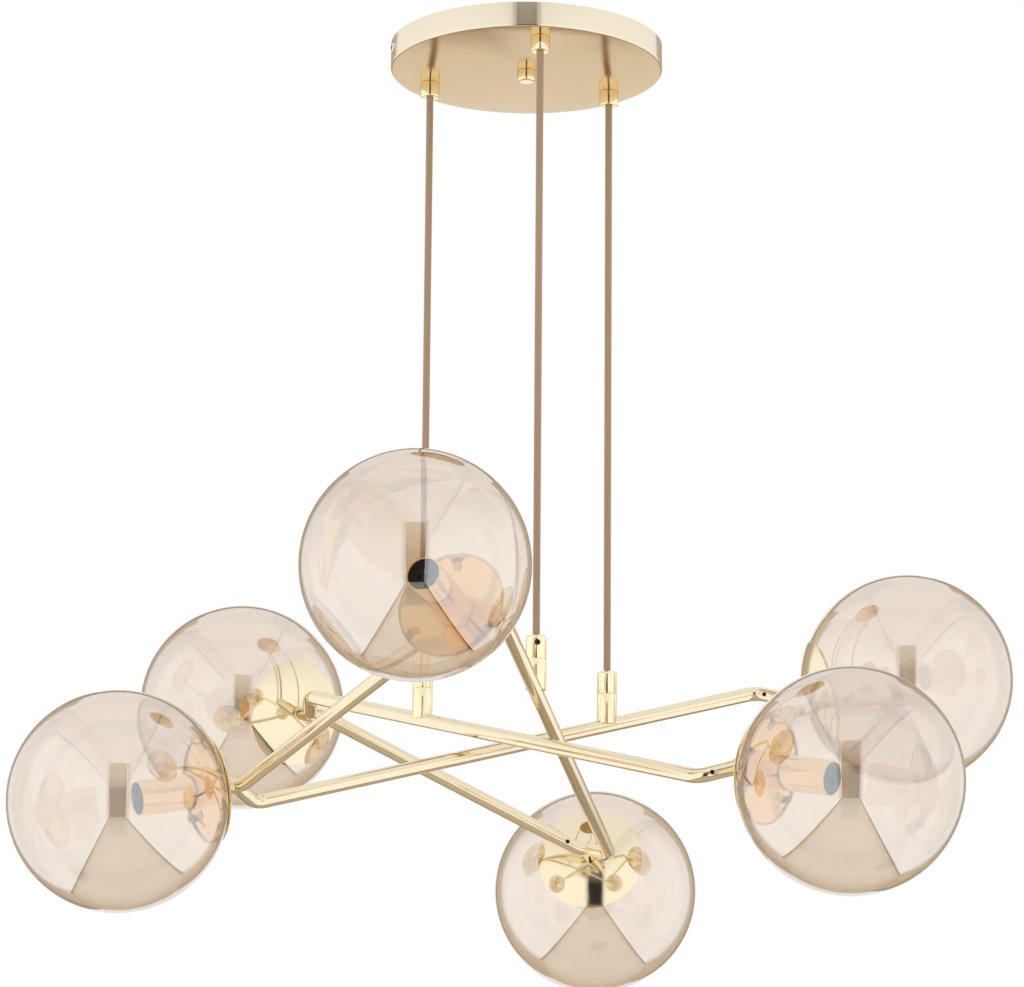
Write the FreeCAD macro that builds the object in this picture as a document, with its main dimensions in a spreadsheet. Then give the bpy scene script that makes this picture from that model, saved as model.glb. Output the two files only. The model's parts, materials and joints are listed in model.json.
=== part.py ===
import FreeCAD, Part
import Sketcher

import math
import os
import re

Vector = FreeCAD.Vector
UP = Vector(0, 0, 1)

# Pendant chandelier: six glass globes on a zig-zag brass frame, hung from a round canopy on three cords.
# The origin is on the ceiling plane, at the canopy's axis. Everything hangs below it, and -Y is the front.
doc = FreeCAD.newDocument("Chandelier")
sheet = doc.addObject("Spreadsheet::Sheet", "Sizes")

SIZES = {
    # Globes: three high ones and three low ones on one ring
    "globe_dia": 150,
    "glass_wall": 1.5,
    "glass_mouth_dia": 66,
    "ring_radius": 286,
    "ring_rise": 61,
    "upper_azimuth": -103.9,
    "lower_azimuth": -161.3,
    "axis_tilt": 12,
    "axis_skew": 7,
    # Caps: spun domes that continue the globe's sphere
    "cap_gap": 0.3,
    "cap_wall": 1.2,
    "cap_lap": 0.6,
    "cap_flat": 0.3,
    # Clips: leaf springs inside the cap that grip the edge of the glass
    "clip_thickness": 0.6,
    "clip_width_angle": 10,
    "clip_pad": 5,
    "clip_reach": 5,
    "clip_gap": 0.3,
    # Lamp sleeves, lampholders and the threaded nipples that carry them
    "sleeve_dia": 24,
    "sleeve_wall": 1.2,
    "sleeve_base": 2,
    "sleeve_end_gap": 14,
    "seat_gap": 0.05,
    "holder_recess": 3,
    "holder_length": 34,
    "holder_gap": 0.15,
    "pin_spacing": 9,
    "pin_hole_dia": 3,
    "pin_hole_depth": 12,
    "nipple_dia": 8,
    "nipple_bore": 5,
    "nipple_grip": 6,
    "thread_gap": 0.05,
    # Frame of tubes and cast knuckles
    "tube_dia": 10,
    "tube_wall": 1,
    "stub_length": 10,
    "hub_dia": 11,
    "hub_back": 5,
    "hub_front": 4,
    "hub_round": 2.5,
    "bend_radius": 14,
    "arm_run": 5,
    "leg_length": 19,
    "long_inset": 20,
    "long_side": 20,
    "long_rise": 7.5,
    "short_inset": 9,
    "short_drop": 0,
    "spigot_gap": 0.1,
    "tube_screw_dia": 3,
    "long_screw_inset": 9.5,
    "short_screw_inset": 4.5,
    "spigot_tail": 3,
    "tube_screw_length": 2,
    "tube_screw_sink": 0.4,
    "screw_gap": 0.1,
    # Cord clamps on the long tubes
    "clamp_station": 73.7,
    "clamp_dia": 14,
    "stud_height": 22,
    "stud_skirt": 1,
    "barrel_height": 17,
    "barrel_round": 3,
    "clamp_thread_dia": 9,
    "clamp_thread_length": 5,
    "wire_bore": 4,
    "clamp_screw_dia": 4,
    "clamp_screw_drop": 6,
    "clamp_screw_sink": 0.5,
    # Cords
    "cord_dia": 5,
    "cord_length": 419,
    "cord_gap": 0.3,
    "cord_bore_depth": 9,
    # Canopy, grips and ceiling fixing
    "canopy_dia": 195,
    "canopy_height": 18,
    "canopy_wall": 1.2,
    "canopy_round": 1.5,
    "grip_dia": 13.5,
    "grip_height": 11,
    "grip_round": 1.2,
    "grip_thread_dia": 10,
    "grip_thread_length": 7,
    "grip_nut_width": 14,
    "grip_nut_height": 4,
    "bracket_azimuth": 14,
    "bracket_width": 26,
    "bracket_thickness": 2,
    "bracket_ear": 13,
    "bracket_gap": 0.4,
    "ceiling_hole_spacing": 110,
    "ceiling_hole_dia": 5,
    "centre_stud_dia": 6,
    "centre_nut_dia": 13,
    "centre_nut_height": 8,
    "side_screw_dia": 4,
    "side_screw_drop": 9,
    "side_screw_head_dia": 6.5,
    "side_screw_head": 1.8,
    "side_screw_length": 8,
    "terminal_length": 34,
    "terminal_width": 16,
    "terminal_height": 10,
    "terminal_offset": 32,
    "terminal_hole_dia": 3.2,
}

for row, (alias, number) in enumerate(SIZES.items(), start=1):
    sheet.set("A%d" % row, alias)
    sheet.set("B%d" % row, str(number))
    sheet.setAlias("B%d" % row, alias)
doc.recompute()

NODES = []


def bound(formula):
    """The formula with each size's name pointing at its cell."""
    return re.sub(r"[a-z_]+", lambda word: "Sizes." + word[0] if word[0] in SIZES else word[0], formula)


def value(formula):
    """The formula's number at the present sizes."""
    return float(sheet.evalExpression(bound(formula)))


def keep(feature, label, placement=None):
    """Names a finished sub-part and sets it in its place."""
    feature.Label = label
    if placement:
        feature.Placement = placement
    NODES.append(feature)
    return feature


def origin_plane(body, role):
    return next(plane for plane in body.Origin.OriginFeatures if plane.Role == role)


def sketch_on(body, name, role):
    sketch = body.newObject("Sketcher::SketchObject", name)
    sketch.AttachmentSupport = (origin_plane(body, role), [""])
    sketch.MapMode = "FlatFace"
    return sketch


def place_corner(sketch, geometry, end, across, along):
    """Ties a corner's two coordinates to formulas; a plain 0 puts it on the axis."""
    for kind, axis, formula in (("DistanceX", -2, across), ("DistanceY", -1, along)):
        if formula == "0":
            sketch.addConstraint(Sketcher.Constraint("PointOnObject", geometry, end, axis))
            continue
        index = sketch.addConstraint(Sketcher.Constraint(kind, -1, 1, geometry, end, value(formula)))
        sketch.setExpression("Constraints[%d]" % index, bound(formula))


def closed_outline(sketch, corners):
    """Draws a closed outline of (across, along) corners in formulas.

    A third entry is the radius of an arc about the sketch's origin that leads to the next corner.
    """
    points = [Vector(value(corner[0]), value(corner[1]), 0) for corner in corners]
    ends = []
    for index, corner in enumerate(corners):
        start = points[index]
        finish = points[(index + 1) % len(points)]
        if len(corner) == 3:
            middle = (start + finish).normalize() * value(corner[2])
            edge = sketch.addGeometry(Part.Arc(start, middle, finish), False)
            radius = sketch.addConstraint(Sketcher.Constraint("Radius", edge, value(corner[2])))
            sketch.setExpression("Constraints[%d]" % radius, bound(corner[2]))
        else:
            edge = sketch.addGeometry(Part.LineSegment(start, finish), False)
        forward = sketch.getPoint(edge, 1).distanceToPoint(start) < 1e-6
        ends.append((edge, 1, 2) if forward else (edge, 2, 1))
    for index, corner in enumerate(corners):
        edge, start, finish = ends[index]
        before = ends[index - 1]
        sketch.addConstraint(Sketcher.Constraint("Coincident", before[0], before[2], edge, start))
        place_corner(sketch, edge, start, corner[0], corner[1])


def turned(label, corners, sweep=None):
    """A body revolved about its own Z axis from (radius, height) corners."""
    body = doc.addObject("PartDesign::Body", label)
    sketch = sketch_on(body, label + "_profile", "XZ_Plane")
    closed_outline(sketch, corners)
    turn = body.newObject("PartDesign::Revolution", label + "_turn")
    turn.Profile = sketch
    turn.ReferenceAxis = (sketch, ["V_Axis"])
    turn.Angle = 360
    if sweep:
        turn.setExpression("Angle", bound(sweep))
        turn.Midplane = True
    return body


def outer_edge(shape, radius, height):
    """Name of the circular edge with the given radius and height."""
    for number, edge in enumerate(shape.Edges, start=1):
        curve = edge.Curve
        if not isinstance(curve, Part.Circle):
            continue
        if abs(curve.Radius - radius) < 1e-4 and abs(edge.CenterOfMass.z - height) < 1e-4:
            return "Edge%d" % number
    raise RuntimeError("no edge of radius %g at height %g" % (radius, height))


def round_edge(body, name, edge_radius, edge_height, rounding):
    """Rounds the circular edge of a turned body."""
    doc.recompute()
    base = body.Tip
    edge = outer_edge(base.Shape, value(edge_radius), value(edge_height))
    fillet = body.newObject("PartDesign::Fillet", name)
    fillet.Base = (base, [edge])
    fillet.setExpression("Radius", bound(rounding))


def rod(name, diameter, length, placement=None):
    """A plain cylinder along Z, from formulas or from a worked-out length."""
    cylinder = doc.addObject("Part::Cylinder", name)
    cylinder.setExpression("Radius", bound("(%s) / 2" % diameter))
    if isinstance(length, str):
        cylinder.setExpression("Height", bound(length))
    else:
        cylinder.Height = length
    if placement:
        cylinder.Placement = placement
    return cylinder


def minus(name, base, *tools):
    """The base with each tool cut away in turn."""
    for index, tool in enumerate(tools):
        cut = doc.addObject("Part::Cut", "%s_cut_%d" % (name, index + 1))
        cut.Base = base
        cut.Tool = tool
        base = cut
    return base


def group(name, features):
    """Separate like solids in one node."""
    compound = doc.addObject("Part::Compound", name)
    compound.Links = features
    return compound


def lined_up(origin, direction, side=None):
    """A placement whose local Z runs along direction, with local X as near to side as it can be."""
    z = Vector(direction).normalize()
    reference = side or (UP if abs(z.z) < 0.9 else Vector(1, 0, 0))
    y = z.cross(reference).normalize()
    x = y.cross(z)
    return FreeCAD.Placement(Vector(origin), FreeCAD.Rotation(x, y, z, "ZXY"))


def around(azimuth):
    return Vector(math.cos(math.radians(azimuth)), math.sin(math.radians(azimuth)), 0)


def lifted(height, azimuth=0):
    return FreeCAD.Placement(Vector(0, 0, height), FreeCAD.Rotation(UP, azimuth))


# Shared formulas of a globe's pieces in their own frame: the globe's centre at 0, Z towards the cap's pole
GLASS_OUT = "(globe_dia / 2)"
GLASS_IN = "(globe_dia / 2 - glass_wall)"
MOUTH_R = "(glass_mouth_dia / 2)"
MOUTH_Z = "sqrt(%s^2 - %s^2)" % (GLASS_IN, MOUTH_R)
CAP_IN = "(globe_dia / 2 + cap_gap)"
CAP_OUT = "(globe_dia / 2 + cap_gap + cap_wall)"
CAP_RIM_Z = "(%s - cap_lap)" % MOUTH_Z
SEAT_Z = "(%s - cap_flat)" % CAP_OUT
NIPPLE_HOLE = "(nipple_dia / 2 + thread_gap)"
SLEEVE_R = "(sleeve_dia / 2)"
SLEEVE_BASE_Z = "(sqrt(%s^2 - %s^2) - seat_gap)" % (CAP_IN, SLEEVE_R)
HOLDER_R = "(sleeve_dia / 2 - sleeve_wall - holder_gap)"
HOLDER_FRONT_Z = "(sleeve_end_gap + holder_recess)"
HOLDER_BACK_Z = "(sleeve_end_gap + holder_recess + holder_length)"


def circle_height(sphere, radius):
    """Height at which a sphere about the origin has the given radius."""
    return "sqrt(%s^2 - %s^2)" % (sphere, radius)


def add_glass(name, placement):
    # Blown globe with a ground mouth, open towards the cap
    glass = turned("glass_" + name, [
        ("0", "-" + GLASS_OUT, GLASS_OUT),
        (circle_height(GLASS_OUT, MOUTH_Z), MOUTH_Z),
        (MOUTH_R, MOUTH_Z, GLASS_IN),
        ("0", "-" + GLASS_IN),
    ])
    keep(glass, "glass_" + name, placement)


def add_cap(name, placement):
    # Spun dome with a flat at its pole for the frame's stub and a hole for the nipple
    flat_r = circle_height(CAP_OUT, SEAT_Z)
    cap = turned("cap_" + name, [
        (NIPPLE_HOLE, SEAT_Z),
        (flat_r, SEAT_Z, CAP_OUT),
        (circle_height(CAP_OUT, CAP_RIM_Z), CAP_RIM_Z),
        (circle_height(CAP_IN, CAP_RIM_Z), CAP_RIM_Z, CAP_IN),
        (NIPPLE_HOLE, circle_height(CAP_IN, NIPPLE_HOLE)),
    ])
    keep(cap, "cap_" + name, placement)


def add_sleeve(name, placement):
    # Drawn tube with a closed base that seats inside the dome, open at its far end
    bore = "(sleeve_dia / 2 - sleeve_wall)"
    floor = "(%s - sleeve_base)" % SLEEVE_BASE_Z
    sleeve = turned("lamp_sleeve_" + name, [
        (NIPPLE_HOLE, SLEEVE_BASE_Z),
        (NIPPLE_HOLE, floor),
        (bore, floor),
        (bore, "sleeve_end_gap"),
        (SLEEVE_R, "sleeve_end_gap"),
        (SLEEVE_R, SLEEVE_BASE_Z),
    ])
    keep(sleeve, "lamp_sleeve_" + name, placement)


def add_lampholder(name, placement):
    # Two-pin lampholder set back in the sleeve, screwed on the end of the nipple
    body = turned("lampholder_" + name, [
        ("0", HOLDER_FRONT_Z),
        (HOLDER_R, HOLDER_FRONT_Z),
        (HOLDER_R, HOLDER_BACK_Z),
        (NIPPLE_HOLE, HOLDER_BACK_Z),
        (NIPPLE_HOLE, "%s - nipple_grip" % HOLDER_BACK_Z),
        ("0", "%s - nipple_grip" % HOLDER_BACK_Z),
    ])
    holes = sketch_on(body, "pins_" + name, "XY_Plane")
    for side in (1, -1):
        centre = Vector(side * value("pin_spacing") / 2, 0, 0)
        hole = holes.addGeometry(Part.Circle(centre, UP, value("pin_hole_dia / 2")), False)
        holes.addConstraint(Sketcher.Constraint("PointOnObject", hole, 3, -1))
        offset = holes.addConstraint(Sketcher.Constraint("DistanceX", -1, 1, hole, 3, centre.x))
        holes.setExpression("Constraints[%d]" % offset, bound("%d * pin_spacing / 2" % side))
        radius = holes.addConstraint(Sketcher.Constraint("Radius", hole, value("pin_hole_dia / 2")))
        holes.setExpression("Constraints[%d]" % radius, bound("pin_hole_dia / 2"))
    pocket = body.newObject("PartDesign::Pocket", "pin_holes_" + name)
    pocket.Profile = holes
    pocket.Reversed = True
    pocket.setExpression("Length", bound("%s + pin_hole_depth" % HOLDER_FRONT_Z))
    keep(body, "lampholder_" + name, placement)


def nipple(name, placement):
    # Threaded tube from inside the frame's stub, through cap and sleeve, into the lampholder
    foot = "%s - nipple_grip" % HOLDER_BACK_Z
    head = "%s + nipple_grip" % SEAT_Z
    tube = turned("nipple_" + name, [
        ("nipple_bore / 2", foot),
        ("nipple_dia / 2", foot),
        ("nipple_dia / 2", head),
        ("nipple_bore / 2", head),
    ])
    tube.Placement = placement
    return tube


def clips(name, placement):
    # Three bent leaf springs: a pad under the dome and a tongue down through the mouth of the glass
    outer = "(%s - clip_gap)" % MOUTH_R
    inner = "(%s - clip_gap - clip_thickness)" % MOUTH_R
    pad_start = "(%s - clip_gap - clip_thickness - clip_pad)" % MOUTH_R
    dome = "(%s - seat_gap)" % CAP_IN
    under = "(%s - seat_gap - clip_thickness)" % CAP_IN
    tip = "%s - clip_reach" % MOUTH_Z
    leaf = turned("clip_" + name, [
        (pad_start, circle_height(under, pad_start)),
        (pad_start, circle_height(dome, pad_start), dome),
        (outer, circle_height(dome, outer)),
        (outer, tip),
        (inner, tip),
        (inner, circle_height(under, inner), under),
    ], "clip_width_angle")
    leaves = []
    for turn in (0, 120, 240):
        spin = FreeCAD.Placement(Vector(), FreeCAD.Rotation(UP, turn))
        copy = doc.addObject("App::Link", "clip_%s_%d" % (name, turn))
        copy.LinkedObject = leaf
        copy.LinkTransform = False
        copy.Placement = placement * spin
        leaves.append(copy)
    return leaves


class Globe:
    """One globe's place: its centre, the way its axis points and the hub of the frame behind it."""

    def __init__(self, name, azimuth, rise, tilt, skew):
        self.name = name
        self.centre = around(azimuth) * value("ring_radius") + UP * rise
        flat = around(azimuth + skew) * math.cos(math.radians(tilt))
        self.outward = flat + UP * math.sin(math.radians(tilt))

    def seat(self):
        return self.centre - self.outward * value(SEAT_Z)

    def hub(self):
        return self.centre - self.outward * value(SEAT_Z + " + stub_length")

    def placement(self):
        return lined_up(self.centre, self.outward * -1)


def ring(level, sign):
    first = value(level + "_azimuth")
    rise = sign * value("ring_rise")
    tilt = sign * value("axis_tilt")
    skew = -sign * value("axis_skew")
    return [Globe("%s_%d" % (level, i + 1), first + 120 * i, rise, tilt, skew) for i in range(3)]


uppers = ring("upper", 1)
lowers = ring("lower", -1)


class Run:
    """One tube of the frame from hub to hub, with a corner near each end.

    The tube reaches past its corners by a leg towards each hub, or stops short of them
    by an arm of the knuckle.
    """

    def __init__(self, start, finish, inset, side, lift):
        self.hubs = [start.hub(), finish.hub()]
        flat = self.hubs[1] - self.hubs[0]
        flat.z = 0
        flat.normalize()
        left = UP.cross(flat)
        self.corners = [self.hubs[0] + flat * inset + left * side - UP * lift,
                        self.hubs[1] - flat * inset + left * side + UP * lift]
        self.along = (self.corners[1] - self.corners[0]).normalize()
        self.left = UP.cross(self.along).normalize()

    def middle(self):
        return (self.corners[0] + self.corners[1]) / 2

    def leg(self, end):
        """The way from a corner to its hub."""
        return (self.hubs[end] - self.corners[end]).normalize()

    def inward(self, end):
        """The way along the straight run, from a corner to the other corner."""
        return self.along if end == 0 else self.along * -1

    def shift(self, offset):
        self.hubs = [hub + offset for hub in self.hubs]
        self.corners = [corner + offset for corner in self.corners]


class BentRun(Run):
    """A long tube, bent at its corners: its ends are on the legs."""

    screw_inset = value("long_screw_inset")

    def end(self, end):
        return self.corners[end] + self.leg(end) * value("leg_length")

    def into(self, end):
        """The way into the tube's end."""
        return self.leg(end) * -1


class StraightRun(Run):
    """A short tube: the knuckle's arm goes round the corner, so the tube itself is straight."""

    screw_inset = value("short_screw_inset")

    def end(self, end):
        return self.corners[end] + self.inward(end) * value("arm_run")

    def into(self, end):
        return self.inward(end)


long_shape = [value(size) for size in ("long_inset", "long_side", "long_rise")]
short_shape = [value("short_inset"), 0, value("short_drop")]
long_runs = [BentRun(lowers[i], uppers[(i + 1) % 3], *long_shape) for i in range(3)]
short_runs = [StraightRun(uppers[i], lowers[i], *short_shape) for i in range(3)]

# The stack of cord and fittings sets how far below the ceiling the frame hangs
clamp_points = [run.middle() + run.along * value("clamp_station") for run in long_runs]
HANG = "canopy_height + grip_height + cord_length + barrel_height + stud_height"
frame_z = -value(HANG) - clamp_points[0].z
DROP = Vector(0, 0, frame_z)
for globe in uppers + lowers:
    globe.centre = globe.centre + DROP
for run in long_runs + short_runs:
    run.shift(DROP)
clamp_points = [point + DROP for point in clamp_points]


def bar(start, finish, diameter):
    length = (finish - start).Length
    return Part.makeCylinder(diameter / 2, length, start, finish - start)


def section(place, way, diameter, bore):
    """A round bar's or a tube's section across its way."""
    wires = [Part.Wire(Part.makeCircle(width / 2, place, way)) for width in (diameter, bore) if width > 0]
    return Part.makeFace(wires, "Part::FaceMakerBullseye")


def bend(corner, way_in, way_out, diameter, bore):
    """A tangent bend about a corner, with the points where it starts and ends."""
    radius = value("bend_radius")
    turn = way_in.getAngle(way_out)
    setback = radius * math.tan(turn / 2)
    centre = corner + (way_out - way_in).normalize() * (radius / math.cos(turn / 2))
    first = corner - way_in * setback
    face = section(first, way_in, diameter, bore)
    solid = face.revolve(centre, way_in.cross(way_out), math.degrees(turn))
    return first, solid, corner + way_out * setback


def straight(start, finish, diameter, bore):
    return section(start, finish - start, diameter, bore).extrude(finish - start)


def bent(points, diameter, bore=0):
    """Pieces of a bar or a tube along straight runs, with a tangent bend at each corner."""
    pieces = []
    start = points[0]
    for corner, before, after in zip(points[1:-1], points, points[2:]):
        way_in = (corner - before).normalize()
        way_out = (after - corner).normalize()
        first, solid, last = bend(corner, way_in, way_out, diameter, bore)
        pieces += [straight(start, first, diameter, bore), solid]
        start = last
    return pieces + [straight(start, points[-1], diameter, bore)]


def end_to_end(pieces):
    """One solid of pieces that only touch, sure to hold as much as they do."""
    whole = pieces[0].multiFuse(pieces[1:])
    together = sum(piece.Volume for piece in pieces)
    if len(whole.Solids) != 1 or abs(whole.Volume - together) > together / 1000:
        raise RuntimeError("pieces of %.1f joined into %.1f" % (together, whole.Volume))
    return whole


def arm(run, end):
    """A knuckle's arm from its hub to the tube's end, and the spigot that goes inside the tube."""
    tip = run.end(end)
    points = [run.hubs[end], tip]
    if isinstance(run, StraightRun):
        points.insert(1, run.corners[end])
    pieces = bent(points, value("tube_dia"))
    spigot_dia = value("tube_dia - 2 * tube_wall - 2 * spigot_gap")
    spigot_length = run.screw_inset + value("spigot_tail")
    return pieces + [bar(tip, tip + run.into(end) * spigot_length, spigot_dia)]


def carve(shape, tool):
    """The shape less the tool, sure to have lost no more than the tool."""
    left = shape.cut(tool)
    lost = shape.Volume - left.Volume
    if len(left.Solids) != 1 or not 0 < lost <= tool.Volume * 1.001:
        raise RuntimeError("a cut took %.1f of %.1f" % (lost, tool.Volume))
    return left


def screw_spot(run, end, side):
    """Where a tube's set screw crosses the tube's axis, and the way that it faces."""
    centre = run.end(end) + run.into(end) * run.screw_inset
    return centre, UP.cross(run.into(end)).normalize() * side


def screw_way(run, end, side, inner, outer, diameter):
    """A cylinder across the tube's wall at its set screw."""
    centre, facing = screw_spot(run, end, side)
    return bar(centre + facing * inner, centre + facing * outer, diameter)


# Each tube's set screws: the end and the side that the screw faces, as seen on the way into that end
LONG_SCREWS = [(0, 1), (1, 1)]
SHORT_SCREWS = [(0, 1), (1, 1)]
SCREW_HOLE = "tube_screw_dia + 2 * screw_gap"
SCREW_TOP = "tube_dia / 2 - tube_screw_sink"
SCREW_TIP = "tube_dia / 2 - tube_screw_sink - tube_screw_length"


def add_knuckle(globe, arms):
    # Cast three-way knuckle: a stub on the cap's pole and two bent arms with spigots
    hub = globe.hub()
    seat = globe.seat()
    back = hub - globe.outward * value("hub_back")
    boss = bar(back, hub + globe.outward * value("hub_front"), value("hub_dia"))
    back_edge = min(boss.Edges, key=lambda edge: edge.CenterOfMass.distanceToPoint(back))
    pieces = [boss.makeFillet(value("hub_round"), [back_edge])]
    for run, end, side in arms:
        pieces += arm(run, end)
    shape = bar(hub, seat, value("tube_dia")).multiFuse(pieces)
    bore = seat - globe.outward * value("nipple_grip")
    shape = carve(shape, bar(bore, seat, value("nipple_dia + 2 * thread_gap")))
    for run, end, side in arms:
        hole = screw_way(run, end, side, value(SCREW_TIP), value("tube_dia"), value(SCREW_HOLE))
        shape = carve(shape, hole)
    knuckle = doc.addObject("Part::Feature", "knuckle_" + globe.name)
    knuckle.Shape = shape
    keep(knuckle, "knuckle_" + globe.name)


def add_long_tube(label, run, sides, clamp_point):
    # Drawn tube bent near both ends, with a hole for each set screw and one for the wires under the clamp
    points = [run.end(0), run.corners[0], run.corners[1], run.end(1)]
    shape = end_to_end(bent(points, value("tube_dia"), value("tube_dia - 2 * tube_wall")))
    for end, side in sides:
        hole = screw_way(run, end, side, 0, value("tube_dia"), value(SCREW_HOLE))
        shape = carve(shape, hole)
    shape = carve(shape, bar(clamp_point, clamp_point + UP * value("tube_dia"), value("wire_bore")))
    tube = doc.addObject("Part::Feature", label)
    tube.Shape = shape
    keep(tube, label)


def add_short_tube(label, run, sides):
    # Straight drawn tube with a cross hole at each end for its set screw
    length = (run.end(1) - run.end(0)).Length
    place = lined_up(run.end(0), run.along, run.left)
    outside = rod(label + "_outside", "tube_dia", length)
    tools = [rod(label + "_bore", "tube_dia - 2 * tube_wall", length)]
    for end, side in sides:
        centre, facing = screw_spot(run, end, side)
        way = place.inverse() * lined_up(centre, facing)
        tools.append(rod("%s_screw_hole_%d" % (label, end), SCREW_HOLE, "tube_dia", way))
    keep(minus(label, outside, *tools), label, place)


def tube_screw(name, run, end, side):
    centre, facing = screw_spot(run, end, side)
    place = lined_up(centre + facing * value(SCREW_TOP), facing * -1)
    return rod(name, "tube_screw_dia", "tube_screw_length", place)


def add_clamp(number, point, run, grip_way):
    # Stud that straddles the tube, brazed on, and the barrel that screws on it and grips the cord
    tube_way = lined_up(point - run.along * value("clamp_dia"), run.along)
    thread_r = "(clamp_thread_dia / 2)"
    hole_r = "(clamp_thread_dia / 2 + thread_gap)"
    stud = turned("stud_turned_%d" % number, [
        ("wire_bore / 2", "stud_skirt"),
        ("clamp_dia / 2", "stud_skirt"),
        ("clamp_dia / 2", "stud_height"),
        (hole_r, "stud_height"),
        (hole_r, "stud_height - clamp_thread_length"),
        ("wire_bore / 2", "stud_height - clamp_thread_length"),
    ])
    stud.Placement = FreeCAD.Placement(point, FreeCAD.Rotation())
    saddle = rod("saddle_%d" % number, "tube_dia + 2 * seat_gap", "2 * clamp_dia", tube_way)
    keep(minus("clamp_stud_%d" % number, stud, saddle), "clamp_stud_%d" % number)

    mouth = "(barrel_height - cord_bore_depth)"
    cord_hole = "(cord_dia / 2 + cord_gap)"
    barrel = turned("barrel_turned_%d" % number, [
        ("wire_bore / 2", "seat_gap - clamp_thread_length"),
        (thread_r, "seat_gap - clamp_thread_length"),
        (thread_r, "0"),
        ("clamp_dia / 2", "0"),
        ("clamp_dia / 2", "barrel_height"),
        (cord_hole, "barrel_height"),
        (cord_hole, mouth),
        ("wire_bore / 2", mouth),
    ])
    round_edge(barrel, "barrel_round_%d" % number, "clamp_dia / 2", "barrel_height", "barrel_round")
    base = point + UP * value("stud_height")
    barrel.Placement = FreeCAD.Placement(base, FreeCAD.Rotation())
    screw_start = base + UP * value("barrel_height - clamp_screw_drop")
    way = lined_up(screw_start, grip_way)
    hole = rod("clamp_screw_hole_%d" % number, "clamp_screw_dia + 2 * screw_gap", "clamp_dia", way)
    keep(minus("clamp_barrel_%d" % number, barrel, hole), "clamp_barrel_%d" % number)

    screw_place = lined_up(screw_start + grip_way * value(cord_hole), grip_way)
    length = "clamp_dia / 2 - clamp_screw_sink - %s" % cord_hole
    return rod("clamp_screw_%d" % number, "clamp_screw_dia", length, screw_place)


def add_cord(number, top):
    # Taut textile cord with rounded ends that sit in the mouths of its grip and its clamp
    cord = turned("cord_run_%d" % number, [
        ("0", "cord_dia / 2", "cord_dia / 2"),
        ("cord_dia / 2", "0"),
        ("cord_dia / 2", "-cord_length"),
        ("0", "-cord_length"),
    ])
    tail = doc.addObject("Part::Sphere", "cord_tail_%d" % number)
    tail.setExpression("Radius", bound("cord_dia / 2"))
    tail.Placement = FreeCAD.Placement(top - UP * value("cord_length"), FreeCAD.Rotation())
    cord.Placement = FreeCAD.Placement(top, FreeCAD.Rotation())
    whole = doc.addObject("Part::Fuse", "cord_whole_%d" % number)
    whole.Base = cord
    whole.Tool = tail
    keep(whole, "cord_%d" % number)


for globe in uppers + lowers:
    spot = globe.placement()
    add_glass(globe.name, spot)
    add_cap(globe.name, spot)
    add_sleeve(globe.name, spot)
    add_lampholder(globe.name, spot)
globes = uppers + lowers
keep(group("nipples", [nipple(globe.name, globe.placement()) for globe in globes]), "nipples")
keep(group("glass_clips", [leaf for globe in globes for leaf in clips(globe.name, globe.placement())]),
     "glass_clips")

screws = []
for i in range(3):
    add_long_tube("long_tube_%d" % (i + 1), long_runs[i], LONG_SCREWS, clamp_points[i])
    add_short_tube("short_tube_%d" % (i + 1), short_runs[i], SHORT_SCREWS)
    for kind, run, sides in (("long", long_runs[i], LONG_SCREWS), ("short", short_runs[i], SHORT_SCREWS)):
        for end, side in sides:
            screws.append(tube_screw("%s_screw_%d_%d" % (kind, i + 1, end), run, end, side))
    add_knuckle(lowers[i], [(long_runs[i], *LONG_SCREWS[0]), (short_runs[i], *SHORT_SCREWS[1])])
    add_knuckle(uppers[i], [(long_runs[i - 1], *LONG_SCREWS[1]), (short_runs[i], *SHORT_SCREWS[0])])
keep(group("tube_screws", screws), "tube_screws")

clamp_screws = []
for i, point in enumerate(clamp_points):
    out = Vector(point.x, point.y, 0).normalize()
    clamp_screws.append(add_clamp(i + 1, point, long_runs[i], out))
    mouth = Vector(point.x, point.y, -value("canopy_height + grip_height"))
    add_cord(i + 1, mouth)
keep(group("clamp_screws", clamp_screws), "clamp_screws")


def add_canopy():
    # Spun cup that closes against the ceiling, with holes for grips, centre stud and side screws
    inner = "(canopy_dia / 2 - canopy_wall)"
    body = turned("canopy_cup", [
        ("0", "-canopy_height"),
        ("canopy_dia / 2", "-canopy_height"),
        ("canopy_dia / 2", "0"),
        (inner, "0"),
        (inner, "canopy_wall - canopy_height"),
        ("0", "canopy_wall - canopy_height"),
    ])
    round_edge(body, "canopy_round_edge", "canopy_dia / 2", "-canopy_height", "canopy_round")
    floor = lifted(-value("canopy_height"))
    tools = [rod("centre_hole", "centre_stud_dia + 4 * screw_gap", "canopy_height", floor)]
    for i, point in enumerate(clamp_points):
        spot = FreeCAD.Placement(Vector(point.x, point.y, -value("canopy_height")), FreeCAD.Rotation())
        tools.append(rod("grip_hole_%d" % i, "grip_thread_dia + 2 * thread_gap", "canopy_height", spot))
    for name, place in side_screw_places():
        tools.append(rod("side_hole_" + name, "side_screw_dia + 4 * screw_gap", "side_screw_length", place))
    keep(minus("canopy", body, *tools), "canopy")


def side_screw_places():
    """Places of the two side screws on the canopy's outside, each along its own axis, inwards."""
    places = []
    for name, turn in (("right", 0), ("left", 180)):
        out = around(value("bracket_azimuth") + turn)
        start = out * value("canopy_dia / 2") - UP * value("side_screw_drop")
        places.append((name, lined_up(start, out * -1)))
    return places


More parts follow.
